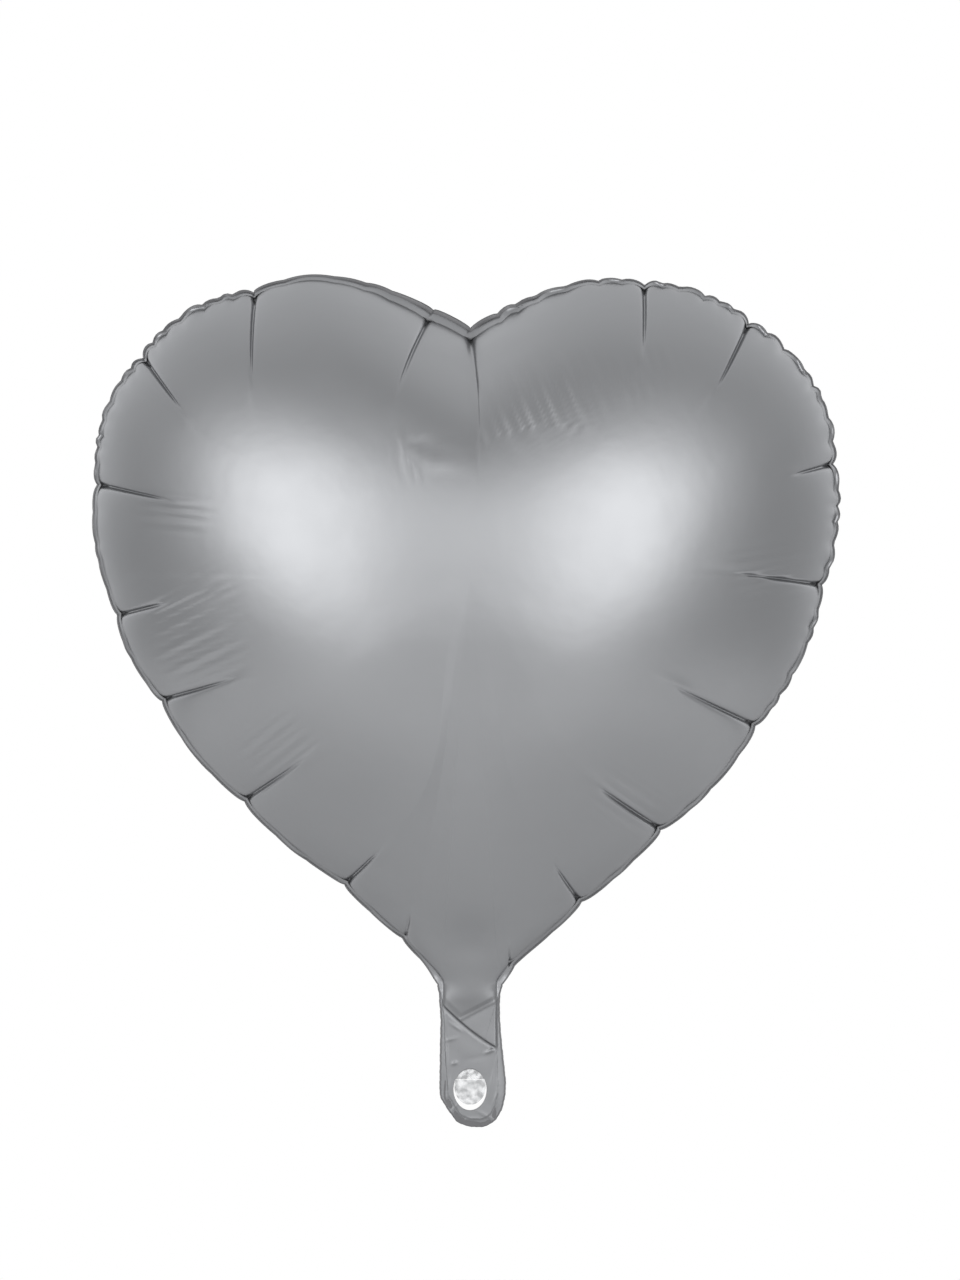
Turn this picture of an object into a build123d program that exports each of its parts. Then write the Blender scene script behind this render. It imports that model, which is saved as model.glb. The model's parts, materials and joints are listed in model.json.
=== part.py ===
"""Heart-shaped foil balloon, inflated, with its filling tail and its self-sealing valve.

Millimetres. +Z is up, +X is to the right seen from the front, and -Y is the front.
The origin is the middle of the neck, on the fold line where the tail meets the heart.

Two heart-shaped sheets of foil are welded together round the rim. Each sheet runs on
below the neck as one ply of a flat tail. A flat valve of two clear films passes from a
hole in the tail, through the neck weld, into the gas space.
"""

from build123d import *

import os

# --- driving dimensions -------------------------------------------------------------

# Heart, seen from the front. The rim runs from the neck round one lobe to the cleft.
NECK_HALF_WIDTH = 15.5
CLEFT_Z = 329.5
RIM_POINTS = [
    (NECK_HALF_WIDTH, 2.0),
    (30.0, 16.5),
    (93.0, 70.0),
    (155.0, 142.0),
    (188.0, 238.0),
    (150.0, 328.0),
    (80.0, 354.5),
    (0.0, CLEFT_Z),
]
RIM_START_DIRECTION = (0.25, 1.0)
RIM_END_DIRECTION = (-0.9, -0.42)

# Depth of each panel, and the point in the front view that its deepest part lies behind.
DOME_DEPTH = 88.0
DOME_CENTRE_Z = 205.0
DOME_STEPS = (0.0, 0.12, 0.28, 0.46, 0.64, 0.80, 0.92, 0.985)  # shares of the depth
DOME_POINTS = 22  # points on each half of a dome section
SIDE_ROUNDNESS = 0.50  # 0.5 is an ellipse, and 1 is a straighter flank
TIP_ROUNDNESS = 0.82
TIP_REACH = 110.0  # height above the neck where the tip's flank becomes the side's

# Films and welds. FOIL is the thickness of a foil sheet, and VALVE_FILM of a valve film.
FOIL = 0.3
VALVE_FILM = 0.15
CORE = 0.5  # from the middle plane to the inner face of either foil sheet
RIM_WELD_WIDTH = 5.0
TAIL_WELD_WIDTH = 4.0
NECK_WELD_HEIGHT = 5.0

# Fold line of the neck: no solid comes nearer to it than this.
FOLD_GAP = 2.0

# Tail
TAIL_HALF_WIDTH = 17.0
TAIL_WIDEST_Z = -54.0
TAIL_END_Z = -72.0
FILL_HOLE_Z = -53.0
FILL_HOLE_HALF_WIDTH = 8.3
FILL_HOLE_HALF_HEIGHT = 10.45

# Valve
VALVE_HALF_WIDTH = 11.0
VALVE_SEAL_WIDTH = 2.0
VALVE_OUTER_Y = 0.35  # outer face of either valve film
VALVE_INNER_Y = VALVE_OUTER_Y - VALVE_FILM
VALVE_TOP_Z = 72.0
VALVE_TOP_HALF_WIDTH = 8.0
WINDOW_CLEARANCE = 0.2
RELEASE_PATCH_HALF_WIDTH = 8.0
RELEASE_PATCH_TOP_Z = 20.0
RELEASE_PATCH_THICKNESS = 0.05

# Lips of the valve's mouth, which swing out through the fill hole
LIP_HINGE_Z = FILL_HOLE_Z + 5.0
LIP_HALF_WIDTH = 6.5
LIP_HINGE_GAP = 0.15
FRONT_LIP_END_Z = FILL_HOLE_Z + 0.5
BACK_LIP_END_Z = FILL_HOLE_Z - 1.0
LIP_CORNER = 2.0

FRONT = Plane.XZ  # its normal points to the front, so an offset is a depth forward


# --- outlines -----------------------------------------------------------------------

RIM_HALF = Edge.make_spline(
    [Vector(x, z) for x, z in RIM_POINTS],
    tangents=[Vector(*RIM_START_DIRECTION), Vector(*RIM_END_DIRECTION)],
)


def rim_points(inset, count=60):
    """Points of the right half of the rim, moved inward by inset, from neck to cleft."""
    points = []
    for i in range(count):
        share = i / (count - 1)
        here = RIM_HALF @ share
        along = (RIM_HALF % share).normalized()
        points.append((here.X - inset * along.Y, here.Y + inset * along.X))
    first, last = points[0], points[-1]
    bottom = RIM_POINTS[0][1] + inset
    points[0] = (first[0], bottom)
    points = [points[0]] + [p for p in points[1:-1] if p[0] > 0.6 and p[1] > bottom + 1.0]
    return points + [(0.0, last[1] - 0.15 * inset)]


def heart_line(points):
    """The closed heart: a spline for each half, and a straight line across the neck."""
    half = Spline(*points)
    other = Spline(*[(-x, z) for x, z in points])
    Line(half @ 0, other @ 0)


def dome_section(points, depth_share):
    """The rim's points drawn in towards the dome's centre, at a share of the depth."""
    section = []
    for x, z in points:
        height = min(max(z / TIP_REACH, 0.0), 1.0)
        blend = height * height * (3.0 - 2.0 * height)
        roundness = TIP_ROUNDNESS + (SIDE_ROUNDNESS - TIP_ROUNDNESS) * blend
        reach = (1.0 - depth_share ** (1.0 / roundness)) ** 0.5
        section.append((x * reach, DOME_CENTRE_Z + (z - DOME_CENTRE_Z) * reach))
    return section


def dome(inset, depth):
    """A solid dome on the front side of the middle plane."""
    base = rim_points(inset, DOME_POINTS)
    with BuildPart() as solid:
        for share in DOME_STEPS:
            with BuildSketch(FRONT.offset(CORE + share * depth)):
                with BuildLine():
                    heart_line(dome_section(base, share))
                make_face()
        loft()
    return solid.part


# --- heart --------------------------------------------------------------------------


def heart_band(near, far):
    """The rim's band, one weld wide, between two depths in front of the middle plane."""
    with BuildPart() as band:
        with BuildSketch(FRONT.offset(near)):
            with BuildLine():
                heart_line(rim_points(0.0))
            make_face()
            with BuildLine():
                heart_line(rim_points(RIM_WELD_WIDTH))
            make_face(mode=Mode.SUBTRACT)
        extrude(amount=far - near)
    return band.part


def make_front_panel():
    """One heart sheet: a crowned dome of foil, with its flat flange round the rim."""
    with BuildPart() as front_panel:
        add(dome(RIM_WELD_WIDTH - FOIL / 2, DOME_DEPTH - CORE))
        add(dome(RIM_WELD_WIDTH + FOIL / 2, DOME_DEPTH - CORE - FOIL), mode=Mode.SUBTRACT)
        add(heart_band(CORE, CORE + FOIL))
    return front_panel.part


def make_back_panel(front_panel):
    """The other heart sheet, the mirror image of the front one."""
    with BuildPart() as back_panel:
        add(front_panel)
        mirror(about=Plane.XZ, mode=Mode.REPLACE)
    return back_panel.part


def make_rim_weld():
    """The fused layer between the two flanges, with a gap where the valve passes."""
    window = 2 * (VALVE_HALF_WIDTH + WINDOW_CLEARANCE)
    with BuildPart() as rim_weld:
        add(heart_band(-CORE, CORE))
        Box(window, 4 * CORE, 4 * NECK_WELD_HEIGHT, mode=Mode.SUBTRACT)
    return rim_weld.part


def make_neck_weld():
    """Two bonds that hold the valve's films to the foil sheets across the neck."""
    with BuildPart() as neck_weld:
        for depth in (VALVE_OUTER_Y, -CORE):
            with BuildSketch(FRONT.offset(depth)):
                with Locations((0, FOLD_GAP)):
                    Rectangle(
                        2 * VALVE_HALF_WIDTH, NECK_WELD_HEIGHT, align=(Align.CENTER, Align.MIN)
                    )
            extrude(amount=CORE - VALVE_OUTER_Y)
    return neck_weld.part


# --- tail ---------------------------------------------------------------------------


def tail_line(inset, top_z):
    """The closed outline of the tail, moved inward by inset at its sides and its end."""
    width = TAIL_HALF_WIDTH - inset
    height = TAIL_WIDEST_Z - TAIL_END_Z - inset
    neck = NECK_HALF_WIDTH - inset
    side = Spline((neck, top_z), (width, TAIL_WIDEST_Z), tangents=((0, -1), (0, -1)))
    other = Spline((-neck, top_z), (-width, TAIL_WIDEST_Z), tangents=((0, -1), (0, -1)))
    Line(side @ 0, other @ 0)
    EllipticalCenterArc((0, TAIL_WIDEST_Z), width, height, start_angle=180, arc_size=180)


def make_tail_ply(near):
    """One ply of the tail, with the fill hole through it, from depth near and forward."""
    with BuildPart() as ply:
        with BuildSketch(FRONT.offset(near)):
            with BuildLine():
                tail_line(0.0, -FOLD_GAP)
            make_face()
            with Locations((0, FILL_HOLE_Z)):
                Ellipse(FILL_HOLE_HALF_WIDTH, FILL_HOLE_HALF_HEIGHT, mode=Mode.SUBTRACT)
        extrude(amount=FOIL)
    return ply.part


def make_tail_edge_weld():
    """The fused U-shaped layer between the two plies, open at the neck."""
    with BuildPart() as edge_weld:
        with BuildSketch(FRONT.offset(-CORE)):
            with BuildLine():
                tail_line(0.0, -FOLD_GAP)
            make_face()
            with BuildLine():
                tail_line(TAIL_WELD_WIDTH, 0.0)
            make_face(mode=Mode.SUBTRACT)
        extrude(amount=2 * CORE)
    return edge_weld.part


# --- valve --------------------------------------------------------------------------


def inner_valve_line():
    """The inner length of the valve, from the neck up into the gas space."""
    Polyline(
        (-VALVE_HALF_WIDTH, FOLD_GAP),
        (VALVE_HALF_WIDTH, FOLD_GAP),
        (VALVE_TOP_HALF_WIDTH, VALVE_TOP_Z),
        (-VALVE_TOP_HALF_WIDTH, VALVE_TOP_Z),
        close=True,
    )


def tail_valve_line():
    """The outer length of the valve, from the neck down to the hinges of its lips."""
    Polyline(
        (-VALVE_HALF_WIDTH, -FOLD_GAP),
        (VALVE_HALF_WIDTH, -FOLD_GAP),
        (VALVE_HALF_WIDTH, LIP_HINGE_Z + LIP_HINGE_GAP),
        (-VALVE_HALF_WIDTH, LIP_HINGE_Z + LIP_HINGE_GAP),
        close=True,
    )


def make_valve_film(outline, near):
    """One clear film of the valve, from depth near and forward."""
    with BuildPart() as film:
        with BuildSketch(FRONT.offset(near)):
            with BuildLine():
                outline()
            make_face()
        extrude(amount=VALVE_FILM)
    return film.part


def make_inner_side_seals():
    """The welds that join the inner films along their two long edges."""
    with BuildPart() as seals:
        with BuildSketch(FRONT.offset(-VALVE_INNER_Y)):
            with BuildLine():
                Polyline(
                    (VALVE_HALF_WIDTH - VALVE_SEAL_WIDTH, FOLD_GAP),
                    (VALVE_HALF_WIDTH, FOLD_GAP),
                    (VALVE_TOP_HALF_WIDTH, VALVE_TOP_Z),
                    (VALVE_TOP_HALF_WIDTH - VALVE_SEAL_WIDTH, VALVE_TOP_Z),
                    close=True,
                )
            make_face()
            mirror(about=Plane.YZ)
        extrude(amount=2 * VALVE_INNER_Y)
    return seals.part


def make_tail_side_seals():
    """The welds that join the tail's valve films along their two long edges."""
    bottom = LIP_HINGE_Z + LIP_HINGE_GAP
    corners = ((VALVE_HALF_WIDTH, -FOLD_GAP), (VALVE_SEAL_WIDTH - VALVE_HALF_WIDTH, -FOLD_GAP))
    with BuildPart() as seals:
        with BuildSketch(FRONT.offset(-VALVE_INNER_Y)):
            with Locations(*corners):
                Rectangle(VALVE_SEAL_WIDTH, -FOLD_GAP - bottom, align=(Align.MAX, Align.MAX))
        extrude(amount=2 * VALVE_INNER_Y)
    return seals.part


def make_release_patch():
    """The heat-resistant ink that keeps the neck weld from closing the valve's channel."""
    with BuildPart() as patch:
        with BuildSketch(FRONT.offset(-VALVE_INNER_Y)):
            with Locations((0, FOLD_GAP)):
                Rectangle(
                    2 * RELEASE_PATCH_HALF_WIDTH,
                    RELEASE_PATCH_TOP_Z - FOLD_GAP,
                    align=(Align.CENTER, Align.MIN),
                )
        extrude(amount=RELEASE_PATCH_THICKNESS)
    return patch.part


def make_lip(near, end_z):
    """The free tongue at one film's mouth, hanging in the fill hole, rounded at its end."""
    top = LIP_HINGE_Z - LIP_HINGE_GAP
    with BuildPart() as lip:
        with BuildSketch(FRONT.offset(near)):
            with Locations((0, top)):
                Rectangle(2 * LIP_HALF_WIDTH, top - end_z, align=(Align.CENTER, Align.MAX))
        extrude(amount=VALVE_FILM)
        fillet(lip.edges().filter_by(Axis.Y).group_by(Axis.Z)[0], radius=LIP_CORNER)
    return lip.part


# --- write each piece ---------------------------------------------------------------

front_panel = make_front_panel()
pieces = {
    "front_panel": front_panel,
    "back_panel": make_back_panel(front_panel),
    "rim_weld": make_rim_weld(),
    "neck_weld": make_neck_weld(),
    "tail_front_ply": make_tail_ply(CORE),
    "tail_back_ply": make_tail_ply(-CORE - FOIL),
    "tail_edge_weld": make_tail_edge_weld(),
    "inner_valve_front_film": make_valve_film(inner_valve_line, VALVE_INNER_Y),
    "inner_valve_back_film": make_valve_film(inner_valve_line, -VALVE_OUTER_Y),
    "inner_valve_side_seals": make_inner_side_seals(),
    "release_patch": make_release_patch(),
    "tail_valve_front_film": make_valve_film(tail_valve_line, VALVE_INNER_Y),
    "tail_valve_back_film": make_valve_film(tail_valve_line, -VALVE_OUTER_Y),
    "tail_valve_side_seals": make_tail_side_seals(),
    "front_valve_lip": make_lip(VALVE_INNER_Y, FRONT_LIP_END_Z),
    "back_valve_lip": make_lip(-VALVE_OUTER_Y, BACK_LIP_END_Z),
}

os.makedirs("parts", exist_ok=True)
for name, piece in pieces.items():
    piece.label = name
    export_step(piece, f"parts/{name}.step")
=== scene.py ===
"""Heart-shaped foil balloon: two satin foil sheets, their welds, and the clear valve in the tail.

Every size is in millimetres until a mesh is made. The middle plane of the balloon is the XZ plane,
the front is towards -Y, and the origin is the middle of the neck, where the flat tail folds.
"""

import json
import math

import bmesh
import bpy
import numpy as np
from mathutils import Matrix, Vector


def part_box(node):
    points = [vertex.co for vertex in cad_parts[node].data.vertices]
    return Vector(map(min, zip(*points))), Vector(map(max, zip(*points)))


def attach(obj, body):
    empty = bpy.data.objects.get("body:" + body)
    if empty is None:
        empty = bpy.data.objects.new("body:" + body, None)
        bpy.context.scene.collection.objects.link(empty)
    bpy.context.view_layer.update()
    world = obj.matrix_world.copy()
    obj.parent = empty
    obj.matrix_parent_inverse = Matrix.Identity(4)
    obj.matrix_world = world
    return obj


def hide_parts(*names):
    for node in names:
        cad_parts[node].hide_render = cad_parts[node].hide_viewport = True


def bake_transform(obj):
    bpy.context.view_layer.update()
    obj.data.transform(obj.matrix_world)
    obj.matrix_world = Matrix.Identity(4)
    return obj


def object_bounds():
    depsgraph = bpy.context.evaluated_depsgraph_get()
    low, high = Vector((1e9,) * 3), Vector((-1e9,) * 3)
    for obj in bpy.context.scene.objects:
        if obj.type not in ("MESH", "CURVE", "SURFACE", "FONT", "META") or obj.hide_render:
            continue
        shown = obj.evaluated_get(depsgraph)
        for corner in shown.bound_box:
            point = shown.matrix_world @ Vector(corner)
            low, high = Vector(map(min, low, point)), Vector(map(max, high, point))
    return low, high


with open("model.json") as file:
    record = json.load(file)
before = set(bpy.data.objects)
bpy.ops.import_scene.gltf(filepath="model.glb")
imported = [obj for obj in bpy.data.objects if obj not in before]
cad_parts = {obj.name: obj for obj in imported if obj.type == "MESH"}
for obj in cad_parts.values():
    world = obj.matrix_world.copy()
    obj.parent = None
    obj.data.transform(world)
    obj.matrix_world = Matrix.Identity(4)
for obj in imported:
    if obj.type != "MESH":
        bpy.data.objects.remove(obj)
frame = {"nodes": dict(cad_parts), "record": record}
CAD_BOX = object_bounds()

bl_info = {
    "name": "Foil Heart Balloon",
    "version": (1, 0, 0),
    "blender": (4, 5, 0),
    "location": "View3D > Sidebar > Balloon",
    "description": "Builds an inflated heart-shaped foil balloon with its tail, welds and valve",
    "category": "Add Mesh",
}

MM = 0.001

# --- the sheet's cut, in millimetres ------------------------------------------------

# The rim, without its puckers, from the neck's right corner round the right lobe to the cleft.
RIGHT_RIM = [(15.5, 0.0), (25.0, 11.0), (38.5, 23.5), (65.5, 47.0), (91.5, 70.5), (118.0, 95.0),
             (139.0, 120.0), (157.0, 147.0), (170.0, 173.0), (179.0, 202.0), (183.5, 228.0),
             (184.5, 256.0), (179.5, 284.0), (166.0, 309.0), (146.0, 329.5), (120.0, 344.0),
             (94.0, 351.5), (68.0, 353.0), (44.0, 348.5), (21.0, 340.0), (0.0, 329.5)]
# The same from the cleft round the left lobe to the neck's left corner.
LEFT_RIM = [(0.0, 329.5), (-22.0, 340.5), (-50.0, 350.5), (-80.0, 354.5), (-110.0, 348.5),
            (-140.0, 337.0), (-165.0, 316.0), (-181.0, 290.0), (-188.0, 260.0), (-188.5, 230.0),
            (-183.5, 203.0), (-173.0, 170.0), (-158.0, 144.0), (-141.0, 119.0), (-119.0, 94.5),
            (-92.0, 70.0), (-63.0, 47.5), (-37.0, 24.0), (-23.5, 10.5), (-15.5, 0.0)]

LOBES_Z = 300.0  # above it the rim is that of the lobes' tops and the cleft

# The main creases: where each leaves the rim, where it ends inside, and its depth.
CREASES = [
    (22.0, 8.5, 17.0, 17.0, 1.6),
    (56.5, 40.0, 40.0, 60.0, 2.6),
    (95.0, 77.5, 62.5, 102.5, 3.4),
    (140.0, 131.5, 97.5, 152.5, 3.4),
    (175.0, 200.0, 128.0, 206.5, 3.4),
    (181.0, 260.0, 157.5, 255.0, 3.0),
    (137.5, 327.5, 118.0, 292.0, 3.4),
    (86.5, 345.0, 84.0, 307.5, 3.0),
    (0.0, 327.5, 3.5, 265.0, 2.4),
    (-20.0, 333.5, -35.0, 292.5, 3.0),
    (-107.5, 345.0, -106.0, 299.0, 3.2),
    (-162.5, 312.5, -139.0, 284.0, 3.4),
    (-187.5, 250.0, -146.0, 242.0, 3.4),
    (-176.0, 185.0, -148.0, 192.0, 3.0),
    (-153.5, 142.5, -115.0, 155.0, 3.2),
    (-113.5, 91.0, -82.0, 115.0, 3.2),
    (-62.5, 50.0, -43.0, 68.0, 2.8),
    (-33.0, 24.0, -26.0, 36.0, 1.8),
]

# Short fine pleats: the patch's middle, the way they run, its half length and half width, and the
# pleats' pitch and height.
PLEATS = [
    ((-16.0, 264.0), (0.05, -1.0), 10.0, 20.0, 5.2, 0.19),
    ((34.0, 290.0), (0.32, -1.0), 18.0, 28.0, 5.8, 0.31),
    ((80.0, 303.0), (0.25, -1.0), 10.0, 22.0, 6.0, 0.12),
    ((-146.0, 236.0), (1.0, -0.12), 16.0, 9.0, 5.5, 0.16),
    ((-136.0, 180.0), (1.0, 0.42), 22.0, 24.0, 5.2, 0.20),
    ((148.0, 205.0), (1.0, 0.10), 18.0, 14.0, 5.5, 0.16),
    ((-96.0, 122.0), (1.0, 0.75), 16.0, 14.0, 5.0, 0.14),
    ((78.0, 93.0), (-1.0, 0.8), 16.0, 14.0, 5.0, 0.14),
]

# How many small scallops lie between each crease and the next one round the rim, and their height.
SCALLOPS = [(2, 0.3), (3, 0.5), (4, 0.6), (7, 1.3), (6, 1.8), (8, 2.0), (6, 1.9), (7, 1.4),
            (1, 0.0), (5, 0.6), (7, 1.8), (8, 1.4), (5, 0.7), (4, 0.4), (3, 0.4), (3, 0.4),
            (2, 0.3)]

# How far in from the rim the swells between creases, the scallops and the notches reach.
SWELL_REACH = 34.0
SCALLOP_REACH = 6.5
NOTCH_REACH = 6.0
NOTCH_SHARE = 0.28  # a notch's depth in the rim, as a share of its crease's, and its half width
NOTCH_WIDTH = 2.2

# The tail's outline from the neck's left corner round the end to the right corner.
TAIL_RIM = [(-15.5, 0.0), (-15.4, -9.0), (-14.8, -17.0), (-14.9, -23.5), (-15.1, -32.0),
            (-15.2, -42.0), (-15.3, -50.0), (-14.9, -56.5), (-12.4, -61.2), (-9.6, -65.3),
            (-6.3, -69.3), (-1.5, -71.3), (3.0, -71.9), (7.5, -71.5), (12.2, -68.8), (15.6, -63.8),
            (17.4, -57.5), (18.0, -50.5), (17.2, -41.0), (15.9, -28.5), (15.0, -15.5), (15.5, 0.0)]

# Small ridges and dents in the tail: middle, turn in degrees, half length, half width and height.
TAIL_DENTS = [
    (10.2, -33.4, 24.0, 2.6, 0.9, 0.55), (-7.8, -39.6, 20.0, 1.5, 1.0, 0.40),
    (-7.2, -21.4, -35.0, 3.2, 0.8, 0.35), (-9.6, -27.6, 15.0, 3.0, 0.9, 0.30),
    (-11.4, -33.0, 88.0, 6.0, 0.6, 0.22), (3.0, -37.0, 10.0, 6.0, 1.6, -0.14),
    (11.5, -46.0, 80.0, 6.0, 0.9, 0.22), (-11.0, -52.0, 82.0, 6.0, 0.8, 0.24),
    (8.0, -66.0, -28.0, 5.0, 0.9, 0.20), (0.5, -67.6, 4.0, 4.0, 0.8, 0.22),
    (-8.0, -62.5, 50.0, 4.0, 0.8, 0.18), (12.6, -57.0, 70.0, 4.5, 0.7, 0.16),
]
TAIL_LIFT = 0.34  # how far the tail's ply stands off inside its welded edge

# The two creases that close the neck, each from a point x, z with its slope and its bend.
SLANT_CREASE = (-13.5, -10.7, -1.02, 0.0085)
RIGHT_CREASE = (-2.7, -17.0, 0.52, 0.0)

FILL_HOLE = (-53.0, 8.3, 10.45)  # height of its middle, half width, half height

# The dome's middle, and its profile's two powers at the sides and at the tip.
DOME_CENTRE_Z = 205.0
SIDE_POWERS = (2.5, 0.75)
TIP_POWERS = (2.0, 0.80)
TIP_REACH = 120.0  # the height by which the tip's profile has become the sides'
# The heart's radius gets softer inwards: each softer copy's blur in degrees, the share of the radius
# at which it sets in, the share over which it does, and whether only below the dome's middle.
SOFTER_COPIES = [(6.0, 0.995, 0.09, True), (20.0, 0.86, 0.50, False), (48.0, 0.52, 0.40, False)]
NECK_SOFTNESS = 10.0  # how gently the dome starts beside the neck
NECK_SLOPE = 0.95  # of the foil along the middle of the neck, which starts at NECK_START
NECK_START = 4.8
NECK_BEND = 12.0  # the length over which it levels out there
NECK_HALF_WIDTH = 13.4

PLY_Y = 0.75  # from the middle plane to the outer face of either foil sheet
BAND_TAPER = 0.40  # how much of that is lost at the outer edge of a weld

# Columns round the rim, and rows across the band, the panel, the tail and the valve's lips. After
# each of HALVE_ROWS only every second column goes on.
COLUMNS = 800
NECK_COLUMNS = 96
CROWDING = 2.6  # how much denser the columns are at a crease, and how far either side of it
CROWDED_WIDTH = 3.2
NORMAL_BLUR = 4.5  # the rim's way outwards is averaged over about this length
BAND_ROWS = 4
PANEL_ROWS = 72
HALVE_ROWS = (45, 56, 63, 68)
TAIL_COLUMNS = 300
TAIL_ROWS = 92
LIP_ROWS = 40
LIP_COLUMNS = 44

LIP_GAP = 0.5  # between the valve's lips and the sides of the hole
LIP_SHORT = 2.8  # between their ends and its bottom, to clear the panel when the tail is folded

LIP_Y = 0.275  # from the middle plane to a lip's edge
LIP_SWELL = 0.42  # how much further its middle is out, and how much the crumples add or take
LIP_CRUMPLE = 0.17
SEAL_ALPHA = 0.04  # opacity of each face of the valve's side seals

VIEW_CENTRE = (5.0, 172.5)  # what the camera looks at, and how high the picture is there
VIEW_HEIGHT = 640.0

FLOOR_RADIUS = 1000.0
FLOOR_SIDES = 96
FLOOR_PAINTED_SHADOW_RADIUS = 550.0  # within it the floor adds no light of its own, which leaves a painted shadow under the balloon
SOFTBOX_DISTANCE = 1700.0
LEFT_SOFTBOX = (-34.0, 9.5)  # degrees round from straight in front, and up
RIGHT_SOFTBOX = (28.5, 9.0)
# The brighter parts of the room: degrees round and up, sharpness, and the setting with the height.
ROOM_LOBES = [
    (180.0, 30.0, 1.0, "back_light"), (0.0, -30.0, 1.0, "front_light"),
    (-147.0, 12.0, 8.0, "back_glow"), (147.0, 12.0, 8.0, "back_glow"),
    (*LEFT_SOFTBOX, 8.5, "softbox_glow"), (*RIGHT_SOFTBOX, 9.5, "softbox_glow"),
]

PI = math.pi


# --- small helpers ------------------------------------------------------------------


def smooth(t):
    """Rises from 0 to 1 as t goes from 0 to 1, level at both ends: 3 t squared less 2 t cubed."""
    t = np.clip(t, 0.0, 1.0)
    return t * t * (3.0 - 2.0 * t)


def curve_through(points, per_span=60):
    """A curve through points: in each span a cubic, its end slopes from the neighbouring chords."""
    p = np.array(points, float)
    knots = np.concatenate(([0.0], np.cumsum(np.linalg.norm(np.diff(p, axis=0), axis=1))))
    slope = np.gradient(p, knots, axis=0, edge_order=2)
    at = np.linspace(0.0, knots[-1], per_span * (len(p) - 1) + 1)
    i = np.clip(np.searchsorted(knots, at, side="right") - 1, 0, len(p) - 2)
    span = (knots[i + 1] - knots[i])[:, None]
    t = (at - knots[i])[:, None] / span
    start = (2 * t**3 - 3 * t**2 + 1) * p[i] + (t**3 - 2 * t**2 + t) * span * slope[i]
    return start + (3 * t**2 - 2 * t**3) * p[i + 1] + (t**3 - t**2) * span * slope[i + 1]


def lengths_along(points):
    """The distance along a line of points, from its first point."""
    return np.concatenate(([0.0], np.cumsum(np.linalg.norm(np.diff(points, axis=0), axis=1))))


def at_lengths(points, s, wanted):
    """Points of a line at the wanted distances along it, by straight interpolation."""
    return np.stack([np.interp(wanted, s, points[:, k]) for k in range(points.shape[1])], axis=-1)


def round_and_round(wanted, s, values, period):
    """Straight interpolation of values given at places s on a closed loop of this length."""
    order = np.argsort(s)
    s, values = np.array(s, float)[order], np.array(values, float)[order]
    s = np.concatenate((s - period, s, s + period))
    return np.interp(wanted, s, np.concatenate((values, values, values)))


def make_object(name, points, faces, material):
    """A mesh object from points in millimetres and lists of faces, shaded smooth."""
    mesh = bpy.data.meshes.new(name)
    mesh.from_pydata((points * MM).tolist(), [], [f for group in faces for f in group.tolist()])
    mesh.polygons.foreach_set("use_smooth", np.ones(len(mesh.polygons), bool))
    mesh.materials.append(material)
    mesh.update()
    obj = bpy.data.objects.new(name, mesh)
    bpy.context.scene.collection.objects.link(obj)
    return obj


def weld_points(obj, distance=0.01):
    """Joins points of the mesh that coincide, in millimetres."""
    bm = bmesh.new()
    bm.from_mesh(obj.data)
    bmesh.ops.remove_doubles(bm, verts=bm.verts, dist=distance * MM)
    bm.to_mesh(obj.data)
    bm.free()
    obj.data.update()


# --- the rim ------------------------------------------------------------------------


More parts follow.
